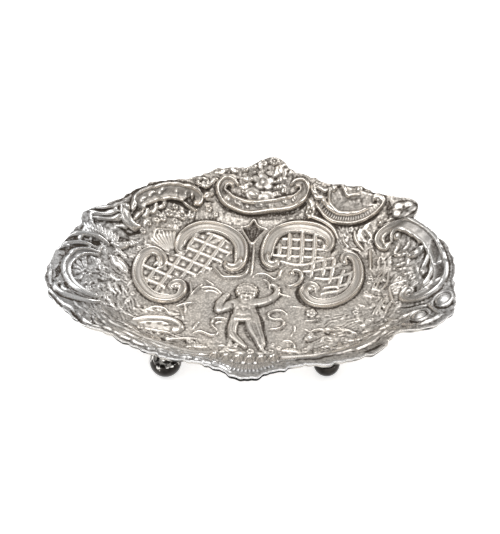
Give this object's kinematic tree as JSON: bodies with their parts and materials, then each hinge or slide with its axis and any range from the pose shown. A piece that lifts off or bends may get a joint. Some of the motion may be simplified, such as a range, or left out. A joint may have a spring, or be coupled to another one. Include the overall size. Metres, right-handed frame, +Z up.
{
  "type": "bonbon dish",
  "caption": "Shallow oval silver bonbon dish with a lobed edge, embossed with rococo scrolls, flowers, trellis panels and a cherub, on ball feet.",
  "frame": {"origin": "on the table, under the middle of the outline", "axes": "+X along the dish to the right of the viewer, +Y away from the viewer, +Z up"},
  "size_m": [0.1378, 0.1044, 0.0198],
  "materials": {
    "silver_sheet": "old silver, bright on the raised ornament and dark grey in the hollows",
    "silver_wire": "worn silver edge wire",
    "silver_ball": "polished, darkened silver",
    "silver_solder": "dull silver solder"
  },
  "bodies": {
    "root": {"dish_body": "silver_sheet", "rim_wire": "silver_wire", "back_right_foot_top": "silver_ball", "back_right_foot_base": "silver_ball", "back_right_foot_collar": "silver_solder", "back_left_foot_top": "silver_ball", "back_left_foot_base": "silver_ball", "back_left_foot_collar": "silver_solder", "front_left_foot_top": "silver_ball", "front_left_foot_base": "silver_ball", "front_left_foot_collar": "silver_solder", "front_right_foot_top": "silver_ball", "front_right_foot_base": "silver_ball", "front_right_foot_collar": "silver_solder"}
  },
  "joints": []
}
